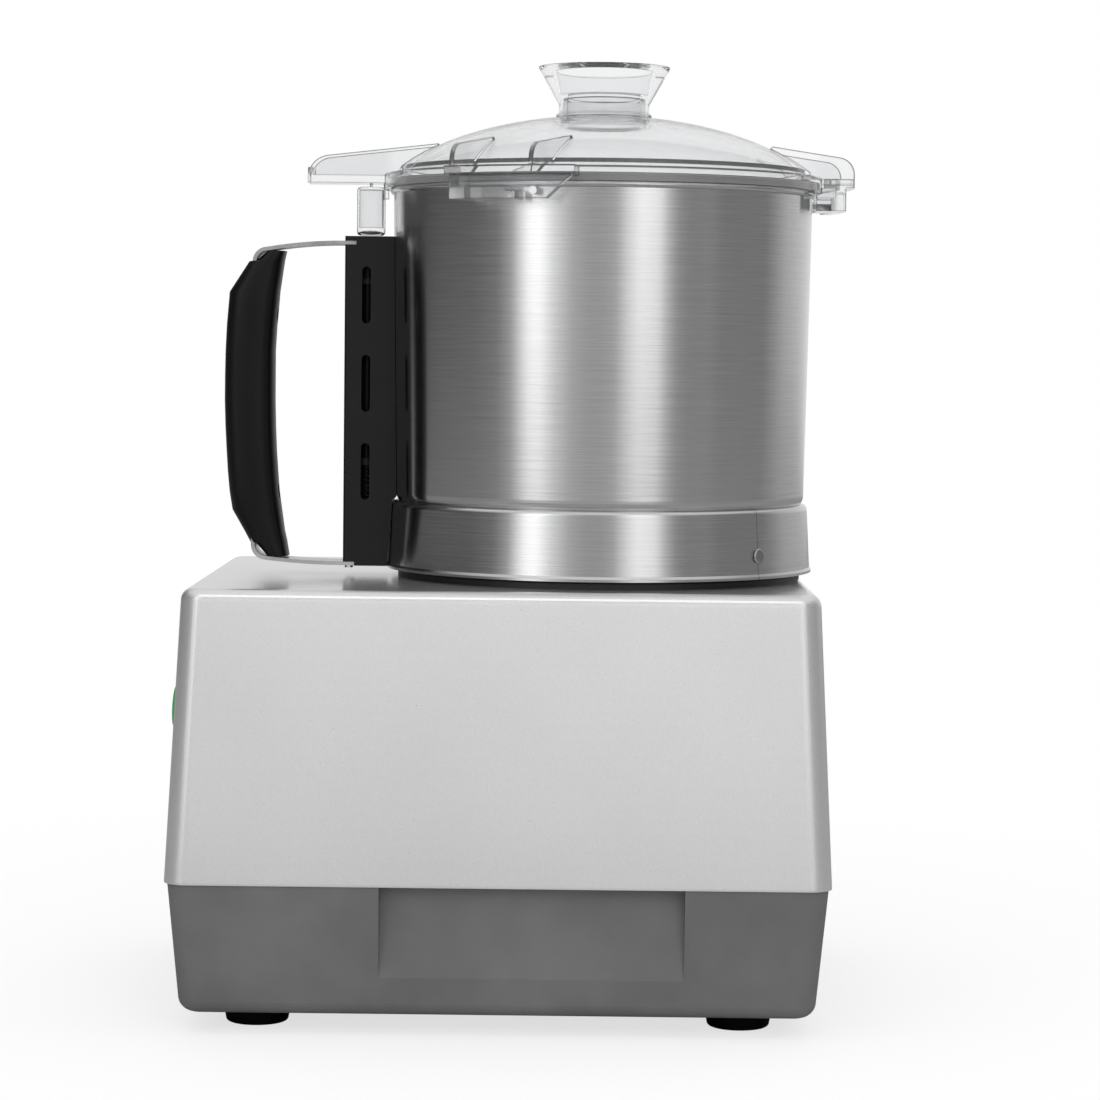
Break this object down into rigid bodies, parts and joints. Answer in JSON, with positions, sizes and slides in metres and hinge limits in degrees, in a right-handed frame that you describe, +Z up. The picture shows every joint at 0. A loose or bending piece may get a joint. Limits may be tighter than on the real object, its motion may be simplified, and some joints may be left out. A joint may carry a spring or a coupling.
{
  "type": "commercial food processor",
  "caption": "Table-top bowl cutter: motor base under a lift-off steel bowl with two sickle blades and a clear locking lid that holds down the interlock rod beside the handle.",
  "frame": {"origin": "on the table, under the middle of the whole machine's box", "axes": "+Z up, +X to the rear, away from the handle and the controls, +Y to the side that the picture does not show"},
  "size_m": [0.3552, 0.28, 0.4922],
  "materials": {
    "tray_plastic": "fine grained satin moulding",
    "housing_paint": "satin silver coating over cast aluminium",
    "foot_rubber": "matt",
    "screw_steel": "zinc plated",
    "seat_plastic": "matt moulding",
    "seal_rubber": "matt",
    "cast_alloy": "die cast",
    "laminated_steel": "laminated",
    "copper_wire": "varnished copper wire",
    "bearing_steel": "ground",
    "fan_plastic": "moulded",
    "panel_plastic": "satin",
    "board_green": "glass fibre board with light components",
    "capacitor_can": "drawn can",
    "reed_white": "moulded",
    "green_button": "gloss",
    "red_button": "gloss",
    "black_button": "gloss",
    "bowl_steel": "brushed stainless steel, grain round the bowl",
    "strap_steel": "polished stainless steel",
    "grip_plastic": "fine grained",
    "spring_steel": "bright spring wire",
    "magnet_grey": "sintered",
    "seal_white": "soft food grade",
    "clear_lid": "clear polycarbonate, gloss",
    "blade_steel": "ground and polished",
    "hub_plastic": "light moulding over a steel core",
    "cap_plastic": "satin"
  },
  "bodies": {
    "base": {"base_tray": "tray_plastic", "motor_housing": "housing_paint", "rubber_feet": "foot_rubber", "foot_screws": "screw_steel", "housing_screws": "screw_steel", "bowl_seat": "seat_plastic", "seat_screws": "screw_steel", "shaft_seal": "seal_rubber", "upper_bell": "cast_alloy", "lower_bell": "cast_alloy", "stator_core": "laminated_steel", "stator_windings": "copper_wire", "upper_bearing": "bearing_steel", "lower_bearing": "bearing_steel", "motor_bolts": "screw_steel", "control_panel": "panel_plastic", "panel_screws": "screw_steel", "switch_blocks": "fan_plastic", "control_board": "board_green", "run_capacitor": "capacitor_can", "capacitor_clamp": "screw_steel", "reed_switch": "reed_white", "cable_gland": "seat_plastic", "gland_nut": "seat_plastic"},
    "drive": {"drive_shaft": "bearing_steel", "rotor_core": "laminated_steel", "cooling_fan": "fan_plastic"},
    "start": {"start_button": "green_button"},
    "stop": {"stop_button": "red_button"},
    "pulse": {"pulse_button": "black_button"},
    "bowl": {"bowl_shell": "bowl_steel", "bowl_tube": "bowl_steel", "bowl_skirt": "bowl_steel", "locating_pins": "strap_steel", "lid_studs": "strap_steel", "handle_strap": "strap_steel", "handle_grip": "grip_plastic", "grip_screws": "screw_steel", "interlock_column": "grip_plastic", "column_cap": "grip_plastic", "column_screws": "screw_steel", "channel_plug": "grip_plastic", "interlock_spring": "spring_steel"},
    "rod": {"interlock_rod": "strap_steel", "rod_plunger": "seat_plastic", "rod_collars": "strap_steel", "rod_magnet": "magnet_grey"},
    "seal": {"lid_seal": "seal_white"},
    "lid": {"lid_shell": "clear_lid", "pour_funnel": "clear_lid"},
    "blades": {"blade_hub": "hub_plastic", "lower_blade": "blade_steel", "blade_spacer": "hub_plastic", "upper_blade": "blade_steel", "blade_ring": "strap_steel", "hub_cap": "cap_plastic"}
  },
  "joints": [
    {"name": "shaft_spin", "type": "hinge", "parent": "base", "child": "drive", "pos_m": [0.04464, 0, 0.2], "axis": [0, 0, 1], "continuous": true},
    {"name": "start_press", "type": "slide", "parent": "base", "child": "start", "axis": [0.9989, 0, -0.0477], "range_m": [0, 0.003], "stiffness_N_per_m": 400},
    {"name": "stop_press", "type": "slide", "parent": "base", "child": "stop", "axis": [0.9989, 0, -0.0477], "range_m": [0, 0.003], "stiffness_N_per_m": 400},
    {"name": "pulse_press", "type": "slide", "parent": "base", "child": "pulse", "axis": [0.9989, 0, -0.0477], "range_m": [0, 0.003], "stiffness_N_per_m": 400},
    {"name": "bowl_lift", "type": "slide", "parent": "base", "child": "bowl", "axis": [0, 0, 1], "range_m": [0, 0.13]},
    {"name": "blade_spin", "type": "hinge", "parent": "bowl", "child": "blades", "pos_m": [0.04464, 0, 0.3], "axis": [0, 0, 1], "continuous": true},
    {"name": "lid_lift", "type": "slide", "parent": "bowl", "child": "seal", "axis": [0, 0, 1], "range_m": [0, 0.12]},
    {"name": "lid_turn", "type": "hinge", "parent": "seal", "child": "lid", "pos_m": [0.04464, 0, 0.427], "axis": [0, 0, 1], "range_deg": [-25, 0]},
    {"name": "rod_slide", "type": "slide", "parent": "bowl", "child": "rod", "axis": [0, 0, 1], "range_m": [0, 0.008], "deforming": ["interlock_spring"]}
  ],
  "couplings": [
    {"joint": "blade_spin", "follows": "shaft_spin", "ratio": 1},
    {"joint": "rod_slide", "follows": "lid_turn", "m_per_rad": -0.018312}
  ]
}
